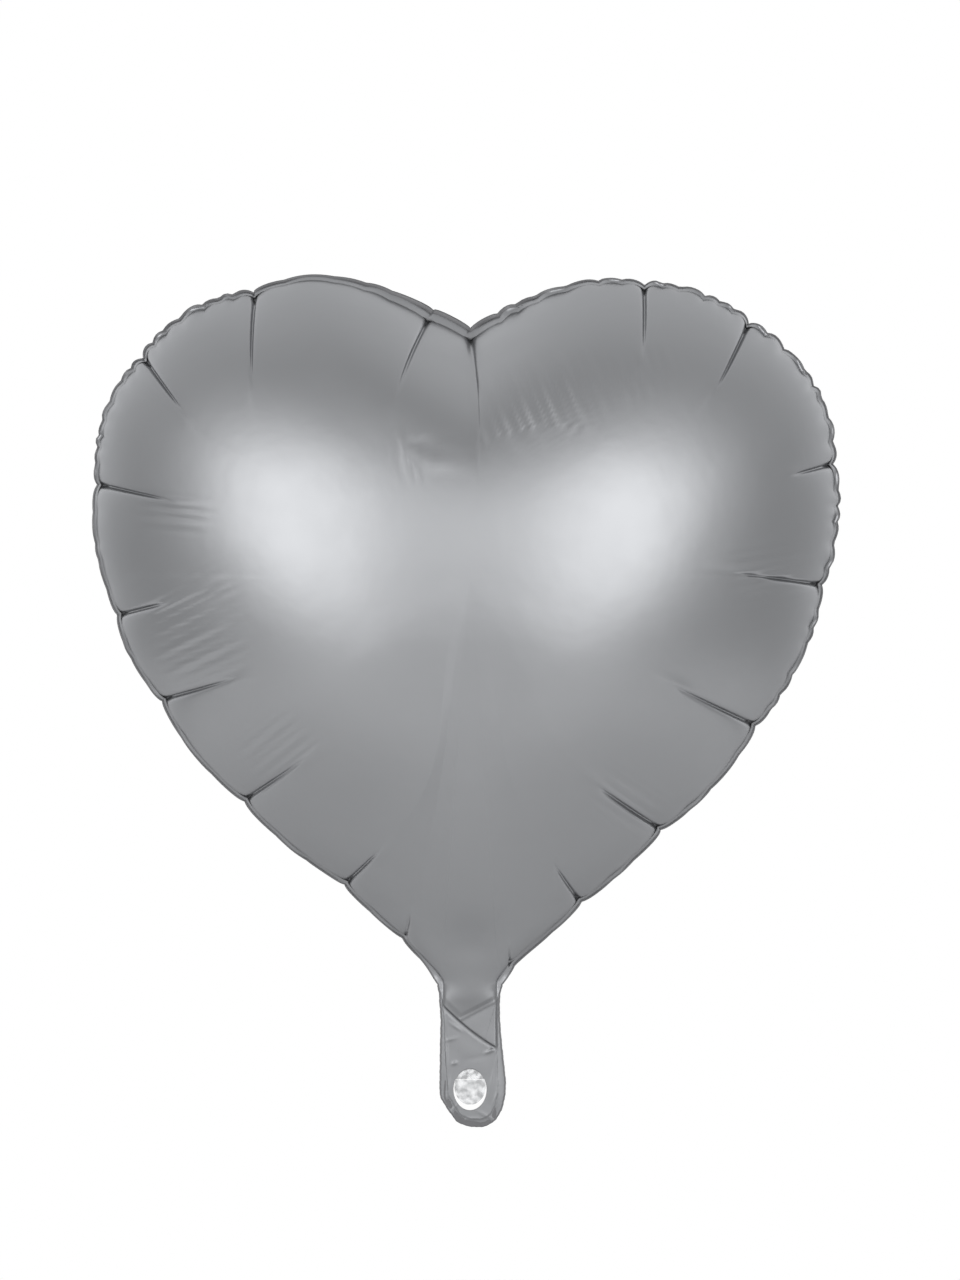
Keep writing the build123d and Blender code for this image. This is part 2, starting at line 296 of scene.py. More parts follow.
class Rim:
    """The heart's edge as columns: places round the loop, with what each column needs.

    Column 0 is the neck's right corner. They run up the right lobe, through the cleft, down the
    left lobe and back across the neck. Columns crowd together at each crease.
    """

    def __init__(self, sizes):
        loop = np.vstack([curve_through(RIGHT_RIM), curve_through(LEFT_RIM)[1:]])
        neck = np.linspace(loop[-1], loop[0], 60)[1:]
        loop = np.vstack([loop, neck])
        s = lengths_along(loop)
        self.length = s[-1]
        corner = s[-len(neck) - 1]

        creases = np.array(CREASES)
        near = np.linalg.norm(loop[None, :, :] - creases[:, None, :2], axis=2).argmin(axis=1)
        self.crease_s = s[near]

        # Columns: their density has a peak at each crease, and the neck has its own even share.
        fine = np.linspace(0.0, corner, 8000)
        gap = np.abs(fine[:, None] - self.crease_s[None, :]).min(axis=1)
        density = 1.0 + CROWDING * np.exp(-((gap / CROWDED_WIDTH) ** 2))
        share = np.concatenate(([0.0], np.cumsum(0.5 * (density[1:] + density[:-1]))))
        heart = np.interp(np.linspace(0.0, share[-1], COLUMNS - NECK_COLUMNS + 1), share, fine)
        across = np.linspace(corner, self.length, NECK_COLUMNS + 1)[1:-1]
        self.s = np.concatenate((heart, across))
        self.is_neck = self.s > corner - 1e-6
        self.is_neck[0] = True
        self.corner = corner

        # The way outwards is that of a blurred tangent, so that it doesn't jump at the corners.
        self.edge = at_lengths(loop, s, self.s)
        tangent = np.gradient(loop, s, axis=0)
        even = np.linspace(0.0, self.length, 4096, endpoint=False)
        way = at_lengths(tangent, s, even)
        from_start = even - self.length * (even > self.length / 2)
        rounding = np.exp(-0.5 * (from_start / NORMAL_BLUR) ** 2)
        blur = np.fft.fft(rounding / rounding.sum())
        way = np.stack([np.fft.ifft(np.fft.fft(way[:, k]) * blur).real for k in (0, 1)], axis=1)
        normal = np.stack([way[:, 1], -way[:, 0]], axis=1)
        normal /= np.linalg.norm(normal, axis=1)[:, None]
        closed = np.vstack([normal, normal[:1]])
        self.normal = at_lengths(closed, np.append(even, self.length), self.s)
        self.normal /= np.linalg.norm(self.normal, axis=1)[:, None]

        # The welded band: its width, and how far it leans back from the middle plane.
        x, z = self.edge.T
        at_cleft = np.exp(-(((x + 12.0) / 46.0) ** 2)) * (z > LOBES_Z)
        upper_left = np.exp(-(((x + 125.0) / 50.0) ** 2)) * (z > LOBES_Z)
        self.band = sizes.weld_width / MM + 2.0 * at_cleft
        self.lean = sizes.band_lean * (1.0 - 0.25 * at_cleft)
        # Wider at the cleft and the upper left, so that the weld's dark colour lays a broad band of
        # painted shade there.
        self.lip = sizes.weld_lip / MM * (1.0 + 1.8 * at_cleft + 0.6 * upper_left)
        self.band_reach = self.band * np.cos(self.lean)
        self.level = smooth((z - 1.0) / 10.0)
        inset = self.band_reach + self.level * self.lip
        self.gas_edge = self.edge - self.normal * inset[:, None]

        self.crease_before, self.share, self.gap = self.between()
        self.swell, self.bump, self.notch = self.arcs(sizes), self.scallops(sizes), self.notches()
        self.pucker = self.swell + self.bump - self.notch
        self.wave = self.band_wave(sizes)

    def between(self):
        """For each column: the crease before it, the share of the way to the next, and the gap
        between the two."""
        order = np.argsort(self.crease_s)
        places = self.crease_s[order]
        i = np.searchsorted(places, self.s, side="right") - 1
        before = np.where(i < 0, 0.0, places[i])
        following = places[np.minimum(i + 1, len(places) - 1)]
        after = np.where(i + 1 < len(places), following, self.corner)
        gap = np.maximum(after - before, 1.0)
        return i, np.clip((self.s - before) / gap, 0.0, 1.0), gap

    def arcs(self, sizes):
        """Between two creases the rim swells in a parabola, drawn in a little at both ends."""
        height = sizes.rim_swell / MM * np.clip(self.gap / 60.0, 0.2, 1.2)
        near_cleft = np.exp(-((self.edge[:, 0] / 50.0) ** 2)) * (self.edge[:, 1] > LOBES_Z)
        parabola = 4.0 * self.share * (1.0 - self.share) - 0.6
        swell = height * parabola * (1.0 - 0.85 * near_cleft)
        return np.where(self.is_neck, 0.0, swell * smooth((self.edge[:, 1] - 4.0) / 20.0))

    def scallops(self, sizes):
        """Small parabolas side by side, of uneven width, as many between two creases as listed."""
        share = self.share
        k = np.clip(self.crease_before, 0, len(SCALLOPS) - 1)
        count, listed = np.array(SCALLOPS, float)[k].T
        warped = share + 0.045 * np.sin(2 * PI * share * 1.5 + 1.7 * k) * np.sin(PI * share)
        within = np.mod(warped * count, 1.0)
        uneven = 0.75 + 0.35 * np.sin(2.3 * np.floor(warped * count) + 1.3 * k)
        height = sizes.scallop_share * listed * uneven
        self.scallop_phase = np.floor(warped * count) + within
        bump = height * (4.0 * within * (1.0 - within) - 0.6)
        return np.where(self.is_neck | (self.crease_before < 0), 0.0, bump)

    def notches(self):
        """Each main crease pulls the rim in by a narrow notch, deepest at the crease."""
        gap = np.abs(self.s[:, None] - self.crease_s[None, :])
        depth = NOTCH_SHARE * np.array(CREASES)[:, 4]
        return (depth * np.exp(-gap / NOTCH_WIDTH)).sum(axis=1)

    def band_wave(self, sizes):
        """The welded band curls to and fro along the rim, a half wave to each scallop."""
        wave = np.sin(PI * self.scallop_phase + 0.8) + 0.4 * np.sin(0.23 * self.s)
        k = np.clip(self.crease_before, 0, len(SCALLOPS) - 1)
        height = 0.25 + 0.5 * np.array(SCALLOPS, float)[k, 1]
        return np.where(self.is_neck, 0.0, sizes.band_curl / MM * height * wave)

    def band_point(self, share, extra=0.0):
        """Points of the band's middle surface, a share of the way from the gas space's edge to the
        foil's edge, and an extra distance further."""
        out = (share * self.band_reach + self.pucker * self.level + extra)[:, None] * self.normal
        plan = self.gas_edge + out
        y = self.level * share * (self.band * np.sin(self.lean) + self.wave * share)
        return np.column_stack([plan[:, 0], y, plan[:, 1]])


# --- the heart's panels -------------------------------------------------------------


def column_plan(rim, u):
    """The columns in the front view, for shares u of the way from the gas edge to the centre.

    Each is straight but for a sideways bow of a u h(u), where h is the fading below. At a crease a
    is what takes the column through the crease's inner end, less at the short ones, and between
    creases it is interpolated.
    """
    centre = np.array([0.0, DOME_CENTRE_Z])
    creases = np.array(CREASES)
    ring = np.vstack([rim.gas_edge, rim.gas_edge[:1]])
    start = at_lengths(ring, np.append(rim.s, rim.length), rim.crease_s)
    to_centre = centre - start
    whole = np.linalg.norm(to_centre, axis=1)
    way = to_centre / whole[:, None]
    step = creases[:, 2:4] - start
    v = (step * way).sum(axis=1) / whole
    aside = step[:, 1] * way[:, 0] - step[:, 0] * way[:, 1]
    a = aside / (v * fading(v)) * np.minimum(1.0, v / 0.16) ** 2
    places = np.concatenate((rim.crease_s, [0.0, rim.corner]))
    a = round_and_round(rim.s, places, np.append(a, [0.0, 0.0]), rim.length)
    to_centre = centre - rim.gas_edge
    side = np.stack([-to_centre[:, 1], to_centre[:, 0]], axis=1)
    side /= np.linalg.norm(side, axis=1)[:, None]
    return rim.gas_edge + u[..., None] * to_centre + (a * u * fading(u))[..., None] * side


def fading(u):
    """Falls from 1 at u = 0 to 0 at u = 1: exp(-(u / 0.6) cubed) (1 - u to the 4th)."""
    return np.exp(-((u / 0.6) ** 3)) * (1.0 - u**4)


def heart_radius(rim):
    """The gas space's edge as a distance from the dome's centre at each angle, and softer copies.

    Each softer copy is the first one blurred over the angle by a bell curve, so that the cleft fades.
    """
    away = rim.gas_edge - (0.0, DOME_CENTRE_Z)
    angle = np.maximum.accumulate(np.unwrap(np.arctan2(away[:, 1], away[:, 0])))
    distance = np.linalg.norm(away, axis=1)
    even = np.linspace(-PI, PI, 1440, endpoint=False)
    base = np.arange(-1, 2)[:, None] * 2 * PI
    sharp = np.interp(even, (angle[None, :] + base).ravel(), np.tile(distance, 3))
    copies = [sharp]
    for degrees, *_ in SOFTER_COPIES:
        turns = np.fft.fftfreq(len(even), 1.0 / len(even))
        bell = np.exp(-0.5 * (turns * math.radians(degrees)) ** 2)
        copies.append(np.fft.ifft(np.fft.fft(sharp) * bell).real)
    return even, copies


def radius_at(even, copy, angle):
    """Straight interpolation over the angle of one of the copies."""
    return np.interp(angle, np.append(even, PI), np.append(copy, copy[0]))


def panel_grid(rim, sizes, length_shares):
    """The front panel as rows and columns of points, from the gas edge to the dome's centre.

    The depth is that of a dome: the whole depth times (1 - r to the p) to the q, where r is the
    distance from the centre as a share of the heart's radius at that angle. At the sides p is
    large, so the flank is steep and the middle flat, and at the tip the dome is more of a cone.
    Towards the centre the radius comes from the softer copies. Near the neck the dome starts level:
    its depth d becomes the root of (d squared + k squared), less k. In the open neck itself the
    neck's own arch takes over.
    """
    centre = np.array([0.0, DOME_CENTRE_Z])
    phi = np.linspace(0.0, 1.0, PANEL_ROWS + 1)[:-1]
    u = (1.0 - np.cos(phi * PI / 2))[:, None]
    plan = column_plan(rim, u)

    even, (sharp, *softer) = heart_radius(rim)
    away = plan - centre
    distance = np.linalg.norm(away, axis=2)
    angle = np.arctan2(away[..., 1], away[..., 0])
    radius = radius_at(even, sharp, angle)
    out = distance / radius
    for copy, (_, start, reach, only_below) in zip(softer, SOFTER_COPIES):
        share = smooth((start - out) / reach)
        if only_below:
            share = share * (angle < 0.0)
        radius = (1 - share) * radius + share * radius_at(even, copy, angle)
    r = distance / radius
    r = np.clip(r / r[:1], 0.0, 1.0)

    low = smooth(rim.edge[:, 1] / TIP_REACH)
    p = TIP_POWERS[0] + (SIDE_POWERS[0] - TIP_POWERS[0]) * low
    q = TIP_POWERS[1] + (SIDE_POWERS[1] - TIP_POWERS[1]) * low
    depth = sizes.depth / MM * (1.0 - r**p) ** q
    x, z = plan[..., 0], plan[..., 1]
    saddle = sizes.saddle / MM * np.exp(-((x / 42.0) ** 2)) * smooth((z - DOME_CENTRE_Z) / 90.0)
    depth = np.maximum(depth - saddle * (1.0 - r**2) ** 0.5, 0.0)
    from_neck = np.hypot(x, z)
    soft = 1.0 - smooth((from_neck - 8.0) / 40.0)
    level = np.sqrt(depth**2 + NECK_SOFTNESS**2) - NECK_SOFTNESS
    depth = (1.0 - soft) * depth + soft * level
    depth = depth * smooth(from_neck / 26.0)
    open_share = neck_arch(x, z) * (1.0 - smooth((z - 8.0) / 34.0))
    depth = (1.0 - open_share) * depth + open_share * neck_height(z)
    points = np.stack([x, -(PLY_Y + depth), z], axis=-1)
    return puckered(rim, sizes, points, length_shares)


def neck_height(z):
    """How far the gas lifts the foil along the middle of the neck: a sloping line that levels out
    gently below the neck, slope times bend times ln(1 + exp((z - start) / bend))."""
    return NECK_SLOPE * NECK_BEND * np.log1p(np.exp((z - NECK_START) / NECK_BEND))


def neck_arch(x, z):
    """The share of the neck's height at a distance x from its middle: (1 - (x / w) squared) to the
    power 0.7, with a half width w that opens above the neck, gently at first."""
    above = np.maximum(z, 0.0)
    width = NECK_HALF_WIDTH + 1.1 * above**2 / (above + 7.0)
    return np.clip(1.0 - (x / width) ** 2, 0.0, 1.0) ** 0.7


def above_crease(x, z, crease):
    """How far above a crease a point is: the crease is a parabola through its listed point."""
    start_x, start_z, slope, bend = crease
    away = x - start_x
    return z - (start_z + slope * away + bend * away**2)


def tail_bulge(x, z):
    """The lifted foil below the neck line. It ends in a V of two creases: one slants down across
    the whole tail as a small steep step, and the other, from the right, is gentler."""
    slant = 0.7 * above_crease(x, z, SLANT_CREASE)
    right = above_crease(x, z, RIGHT_CREASE)
    above = np.minimum(slant, right)
    to_neck = smooth(-z / 9.0)
    arch = neck_arch(x, z) * (neck_height(z) - to_neck) * smooth((above + 0.4) / 4.5)
    step = 1.25 * smooth((slant + 0.2) / 0.9) - 0.3 * np.exp(-(((slant + 0.7) / 0.6) ** 2))
    ridge = 0.35 * np.exp(-(((right - 0.5) / 0.9) ** 2)) * smooth(slant)
    ends = smooth((14.4 - np.abs(x)) / 2.4)
    return arch + ends * to_neck * (step + ridge - 0.25)


def puckered(rim, sizes, points, length_shares):
    """Moves the panel's points along its normal by the swells, scallops, creases and pleats.

    A swell between creases dies away inwards over its reach, and a scallop over a few millimetres.
    A crease is a narrow groove along one column: its depth falls from the rim to its inner end, and
    beyond one flank rises a low ridge. The pleats are waves across their run, inside a bell.
    """
    down = np.gradient(points, axis=0)
    wrapped = np.concatenate((points[:, -1:], points, points[:, :1]), axis=1)
    along = (wrapped[:, 2:] - wrapped[:, :-2]) * 0.5
    normal = np.cross(along, down)
    normal /= np.maximum(np.linalg.norm(normal, axis=2), 1e-9)[..., None]
    normal *= np.where(normal[..., 1:2].mean() > 0, -1.0, 1.0)
    step = np.diff(points, axis=0)
    none = np.zeros((1, COLUMNS))
    inward = np.concatenate((none, np.cumsum(np.linalg.norm(step, axis=2), axis=0)))
    in_view = np.concatenate((none, np.cumsum(np.hypot(step[..., 0], step[..., 2]), axis=0)))
    flat = np.zeros_like(points)
    flat[..., 0], flat[..., 2] = rim.normal[:, 0], rim.normal[:, 1]
    hold = np.exp(-((inward / 3.0) ** 2))[..., None]
    outward = hold * flat + (1.0 - hold) * normal
    outward /= np.linalg.norm(outward, axis=2)[..., None]

    lift = rim.swell * np.exp(-((inward / SWELL_REACH) ** 2))
    lift = lift + rim.bump * np.exp(-((inward / SCALLOP_REACH) ** 1.6))
    lift = lift - rim.notch * np.exp(-((inward / NOTCH_REACH) ** 2))

    # Distances round each row, measured from each crease's own place on that row.
    gaps = np.linalg.norm(wrapped[:, 2:] - wrapped[:, 1:-1], axis=2)
    round_row = np.concatenate((np.zeros((len(points), 1)), np.cumsum(gaps, axis=1)), axis=1)
    whole = round_row[:, -1:]
    columns = np.append(rim.s, rim.length)
    creases = np.array(CREASES)
    reach = np.linalg.norm(creases[:, 2:4] - creases[:, :2], axis=1) * length_shares
    for place, depth, length in zip(rim.crease_s, creases[:, 4], reach):
        i = np.searchsorted(columns, place, side="right") - 1
        part = (place - columns[i]) / (columns[i + 1] - columns[i])
        here = round_row[:, i] * (1.0 - part) + round_row[:, i + 1] * part
        aside = round_row[:, :-1] - here[:, None]
        aside = aside - whole * np.round(aside / whole)
        run = np.clip(in_view / length, 0.0, 1.0)
        taper = (1.0 - run**3) * (0.8 + 0.2 * np.exp(-in_view / 9.0))
        width = sizes.crease_width / MM * (0.75 + 0.25 * (1.0 - run))
        groove = depth * taper * np.exp(-(np.abs(aside) / width) ** 1.2)
        valley = 0.15 * depth * (1.0 - run) * np.exp(-((aside / (6.0 * width)) ** 2))
        end = np.exp(-(((in_view - length) / (0.22 * length)) ** 2))
        ridge = 0.10 * depth * end * np.exp(-(((aside - 1.8) / 2.6) ** 2))
        lift = lift - groove - valley + ridge
    x, z = points[..., 0], points[..., 2]
    for (px, pz), (wx, wz), half, wide, pitch, height in PLEATS:
        size = math.hypot(wx, wz)
        run = ((x - px) * wx + (z - pz) * wz) / size
        side = ((x - px) * wz - (z - pz) * wx) / size
        bell = np.exp(-((run / half) ** 4) - (side / wide) ** 4)
        uneven = side + 0.7 * np.sin(side * 0.55) + 0.05 * run
        lift = lift + height * sizes.pleat_share * bell * np.cos(2 * PI * uneven / pitch)
    lift = lift * np.where(rim.is_neck, 0.0, 1.0) * smooth((z - 1.0) / 10.0)
    return points + outward * lift[..., None]


def panel_faces(first, rows, halve_at):
    """Faces between rows of columns, outer row first. After each row in halve_at only every second
    column goes on, and three triangles make the step for each pair. Returns quads and triangles."""
    quads, triangles, stride = [], [], 1
    for row in range(rows - 1):
        a = first + row * COLUMNS
        b = a + COLUMNS
        if row in halve_at:
            c = np.arange(0, COLUMNS, 2 * stride)
            mid, far = (c + stride) % COLUMNS, (c + 2 * stride) % COLUMNS
            triangles.append(np.stack([a + c, a + mid, b + c], 1))
            triangles.append(np.stack([a + mid, b + far, b + c], 1))
            triangles.append(np.stack([a + mid, a + far, b + far], 1))
            stride *= 2
        else:
            c = np.arange(0, COLUMNS, stride)
            far = (c + stride) % COLUMNS
            quads.append(np.stack([a + c, a + far, b + far, b + c], 1))
    last = first + (rows - 1) * COLUMNS
    c = np.arange(0, COLUMNS, stride)
    hub = np.full(len(c), first + rows * COLUMNS)
    triangles.append(np.stack([last + c, last + (c + stride) % COLUMNS, hub], 1))
    return np.vstack(quads), np.vstack(triangles)


def heart_sheet(rim, sizes, length_shares):
    """The front heart panel with its half of the welded band: points and faces."""
    panel = panel_grid(rim, sizes, length_shares)
    shares = np.linspace(1.0, 0.0, BAND_ROWS + 1)[:-1]
    band = np.stack([rim.band_point(share) for share in shares])
    taper = BAND_TAPER * shares[:, None] * rim.level
    band[..., 1] -= PLY_Y - taper
    # Across the neck the band is the ply itself, and lies as high as the panel's first row.
    neck = rim.is_neck
    rise = neck_arch(band[..., 0], band[..., 2]) * neck_height(band[..., 2])
    band[:, neck, 1] = -(PLY_Y + rise[:, neck])
    grid = np.concatenate((band, panel))
    rows = len(grid)
    centre = np.array([[0.0, -(PLY_Y + sizes.depth / MM), DOME_CENTRE_Z]])
    points = np.vstack([grid.reshape(-1, 3), centre])
    quads, triangles = panel_faces(0, rows, [BAND_ROWS + k for k in HALVE_ROWS])
    return points, quads, triangles


def tail_side(sizes):
    """The foil's edge down the tail's left side, round its end and up the right, as points, and the
    way outwards at each."""
    side = curve_through(TAIL_RIM)
    s = lengths_along(side)
    wanted = np.linspace(0.0, s[-1], TAIL_COLUMNS + 1)[1:-1]
    way = at_lengths(np.gradient(side, s, axis=0), s, wanted)
    outward = np.stack([way[:, 1], -way[:, 0]], 1) / np.linalg.norm(way, axis=1)[:, None]
    points = at_lengths(side, s, wanted)
    frayed = 0.06 * np.sin(0.9 * wanted) + 0.05 * np.sin(2.3 * wanted + 1.0)
    lip = sizes.weld_lip / MM * smooth(-points[:, 1] / 6.0)
    return points + outward * (frayed - lip)[:, None], outward


def tail_sheet(sizes, neck_points):
    """The front ply of the tail: columns from the tail's outline in to the edge of the fill hole.

    The outline's top is the neck line, on the heart sheet's own points. A row is a share of the way
    from the outline to an ellipse, and the last row turns in by the foil's thickness. The ply is
    lifted a little inside its welded edge, and has small ridges and dents.
    """
    side, _ = tail_side(sizes)
    outline = np.vstack([side, neck_points[::-1]])
    hole_z, half_width, half_height = FILL_HOLE
    away = outline - (0.0, hole_z)
    angle = np.arctan2(away[:, 1] / half_height, away[:, 0] / half_width)
    hole = np.stack([half_width * np.cos(angle), hole_z + half_height * np.sin(angle)], 1)
    share = np.linspace(0.0, 1.0, TAIL_ROWS)[:, None, None]
    plan = outline + share * (hole - outline)
    x, z = plan[..., 0], plan[..., 1]
    side_gap = np.where(np.arange(len(outline)) < len(side), 0.0, 1.0)
    inset = np.linalg.norm(plan - outline, axis=2)
    inset = inset + 9.0 * side_gap * smooth((15.0 - np.abs(x)) / 15.0)
    to_neck = smooth(-z / 8.0)
    weld = sizes.tail_weld / MM
    lift = TAIL_LIFT * smooth((inset - weld + 1.4) / 1.2) * to_neck
    for dx, dz, turn, length, width, height in TAIL_DENTS:
        c, d = math.cos(math.radians(turn)), math.sin(math.radians(turn))
        run, off = (x - dx) * c + (z - dz) * d, (z - dz) * c - (x - dx) * d
        lift += height * np.exp(-((run / length) ** 2) - (off / width) ** 2)
    lift += 0.10 * np.sin(0.35 * x + 0.8 * np.sin(0.21 * z)) * np.sin(0.27 * z + 0.4) * to_neck
    lift = np.maximum(lift, -0.12) + tail_bulge(x, z)
    lift -= BAND_TAPER * (1.0 - smooth(inset / weld)) * to_neck
    points = np.stack([x, -(PLY_Y + lift), z], axis=-1)
    edge = points[-1] + (0.0, 1.5 * sizes.foil_thickness / MM, 0.0)
    points = np.concatenate((points, edge[None]))
    n = len(outline)
    c = np.arange(n)
    far = (c + 1) % n
    quads = [np.stack([r * n + c, r * n + far, (r + 1) * n + far, (r + 1) * n + c], 1)
             for r in range(len(points) - 1)]
    return points.reshape(-1, 3), np.vstack(quads)


def foil_sheet(name, rim, sizes, length_shares, back, material):
    """One whole foil sheet: heart panel, half band and tail ply in one. The back is mirrored."""
    heart, quads, triangles = heart_sheet(rim, sizes, length_shares)
    neck = np.flatnonzero(rim.is_neck)
    neck = np.append(neck[neck > 0], 0)
    tail, tail_quads = tail_sheet(sizes, heart[neck][:, [0, 2]])
    used = np.unique(np.concatenate((quads.ravel(), triangles.ravel())))
    place = np.zeros(len(heart), int)
    place[used] = np.arange(len(used))
    points = np.vstack([heart[used], tail])
    faces = [place[quads], place[triangles], tail_quads + len(used)]
    if back:
        # The band's own curl is shared, so only the height above the middle surface changes side.
        points = points * (1.0, -1.0, 1.0)
        band = np.zeros(len(heart))
        shares = np.linspace(1.0, 0.0, BAND_ROWS + 1)[:-1]
        middle = np.concatenate([rim.band_point(share)[:, 1] for share in shares])
        band[: len(middle)] = np.where(np.tile(rim.is_neck, BAND_ROWS), 0.0, middle)
        points[: len(used), 1] += 2.0 * band[used]
        faces = [f[:, ::-1] for f in faces]
    obj = make_object(name, points, faces, material)
    weld_points(obj)
    mark_pressed_and_painted_shade(obj)
    return obj


def mark_pressed_and_painted_shade(obj):
    """Marks the tail, flattened in the press, where painted shade darkens the foil: 0 in the heart,
    and 1 from 8 mm below the neck.
    """
    place = np.empty(3 * len(obj.data.vertices))
    obj.data.vertices.foreach_get("co", place)
    share = smooth((1.0 - place[2::3] / MM) / 9.0)
    obj.data.attributes.new("pressed_and_painted_shade", "FLOAT", "POINT").data.foreach_set("value", share)


# --- the welds ----------------------------------------------------------------------


def weld_band(name, rim, sizes, material):
    """The fused edge between the two sheets: a thin closed section carried round heart and tail.

    The section's points are a share across the band, a share of the lip that stands out past the
    foil's edges, and a height from the band's middle surface.
    """
    half = PLY_Y - sizes.foil_thickness / MM - 0.02
    edge_half = half - BAND_TAPER
    section = [(-0.08, 0.0, half), (0.5, 0.0, half - 0.5 * BAND_TAPER), (1.0, 0.0, edge_half),
               (1.0, 0.75, 0.8 * edge_half), (1.0, 1.0, 0.0)]
    section = [(v, e, -h) for v, e, h in section] + section[-2::-1]

    heart_columns = np.flatnonzero(rim.s <= rim.corner + 1e-6)
    side_points, outward = tail_side(sizes)
    rings = []
    for share, extra, height in section:
        heart = rim.band_point(share, extra * rim.lip)[heart_columns]
        reach = (share - 1.0) * sizes.tail_weld + extra * sizes.weld_lip
        plan = side_points + outward * reach / MM
        tail = np.column_stack([plan[:, 0], np.zeros(len(plan)), plan[:, 1]])
        ring = np.vstack([heart, tail])
        ring[:, 1] += height
        rings.append(ring)
    points = np.stack(rings)
    rows, n = points.shape[:2]
    r = np.repeat(np.arange(rows), n)
    c = np.tile(np.arange(n), rows)
    far, below = (c + 1) % n, (r + 1) % rows
    quads = np.stack([r * n + c, below * n + c, below * n + far, r * n + far], 1)
    return make_object(name, points.reshape(-1, 3), [quads], material)


# --- the valve's lips ---------------------------------------------------------------


def lip_film(name, side, phase, material):
    """A lip of the valve: the free end of a clear film, which fills the hole below its hinge line.

    It reaches from side to side of the hole and almost to its bottom, with a round end. It swells
    away from the middle plane in a pillow, the root of (1 - across squared) sin(pi run), and is
    crumpled by two slanted sine waves.
    """
    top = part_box(f"{name}_valve_lip")[1].z / MM
    hole_z, half_width, half_height = FILL_HOLE
    half_width = half_width - LIP_GAP
    hole_z += 0.5 * LIP_SHORT
    half_height -= 0.5 * LIP_SHORT
    run, across = np.meshgrid(
        np.linspace(0.0, 1.0, LIP_ROWS), np.linspace(-1.0, 1.0, LIP_COLUMNS), indexing="ij")
    z = top + (hole_z - 0.985 * half_height - top) * run
    x = across * half_width * np.sqrt(1.0 - ((z - hole_z) / half_height) ** 2)
    pillow = (1.0 - across**2) ** 0.5 * np.sin(PI * run) ** 0.5
    folds = np.sin(1.15 * x + 0.75 * z + phase) + 0.7 * np.sin(1.9 * x - 1.3 * z + 2.0 * phase)
    y = side * (LIP_Y + pillow * (LIP_SWELL + LIP_CRUMPLE * folds))
    points = np.stack([x, y, z], axis=-1).reshape(-1, 3)
    r, c = np.meshgrid(np.arange(LIP_ROWS - 1), np.arange(LIP_COLUMNS - 1), indexing="ij")
    a = (r * LIP_COLUMNS + c).ravel()
    quads = np.stack([a, a + 1, a + 1 + LIP_COLUMNS, a + LIP_COLUMNS], 1)
    return make_object(f"{name}_lip_film", points, [quads], material)


# --- materials ----------------------------------------------------------------------


def new_material(name):
    """A material with a Principled shader, returned with its tree's nodes and links."""
    material = bpy.data.materials.new(name)
    material.use_nodes = True
    tree = material.node_tree
    return material, tree.nodes, tree.links, tree.nodes["Principled BSDF"]


def object_place(nodes):
    """Places on the piece itself, which stay put as it moves."""
    return nodes.new("ShaderNodeTexCoord").outputs["Object"]


def noise(nodes, links, vector, scale, detail):
    """A noise texture's value, with this many waves to the metre."""
    texture = nodes.new("ShaderNodeTexNoise")
    texture.inputs["Scale"].default_value = scale
    texture.inputs["Detail"].default_value = detail
    links.new(vector, texture.inputs["Vector"])
    return texture.outputs["Fac"]


def spread(nodes, links, value, low, high, start=0.0, end=1.0):
    """A value from start to end spread evenly from low to high."""
    scaled = nodes.new("ShaderNodeMapRange")
    scaled.inputs["From Min"].default_value = start
    scaled.inputs["From Max"].default_value = end
    scaled.inputs["To Min"].default_value = low
    scaled.inputs["To Max"].default_value = high
    links.new(value, scaled.inputs["Value"])
    return scaled.outputs["Result"]


def calculated(nodes, links, operation, first, second):
    """The result of a Math node. The second value may be a plain number."""
    node = nodes.new("ShaderNodeMath")
    node.operation = operation
    links.new(first, node.inputs[0])
    if isinstance(second, float):
        node.inputs[1].default_value = second
    else:
        links.new(second, node.inputs[1])
    return node.outputs["Value"]


def mixed(nodes, links, factor, first, second):
    """Two colours mixed by a factor. The first may be the output of another node."""
    mix = nodes.new("ShaderNodeMix")
    mix.data_type = "RGBA"
    links.new(factor, mix.inputs["Factor"])
    if isinstance(first, tuple):
        mix.inputs["A"].default_value = first
    else:
        links.new(first, mix.inputs["A"])
    mix.inputs["B"].default_value = second
    return mix.outputs["Result"]


def shade_of(colour, share):
    """A colour with its brightness multiplied by a share."""
    return (*[min(1.0, share * c) for c in colour[:3]], 1.0)


def bumped(nodes, links, height, strength, distance, normal=None):
    """A Bump node's normal, on top of another one if given."""
    bump = nodes.new("ShaderNodeBump")
    bump.inputs["Strength"].default_value = strength
    bump.inputs["Distance"].default_value = distance
    links.new(height, bump.inputs["Height"])
    if normal is not None:
        links.new(normal, bump.inputs["Normal"])
    return bump.outputs["Normal"]


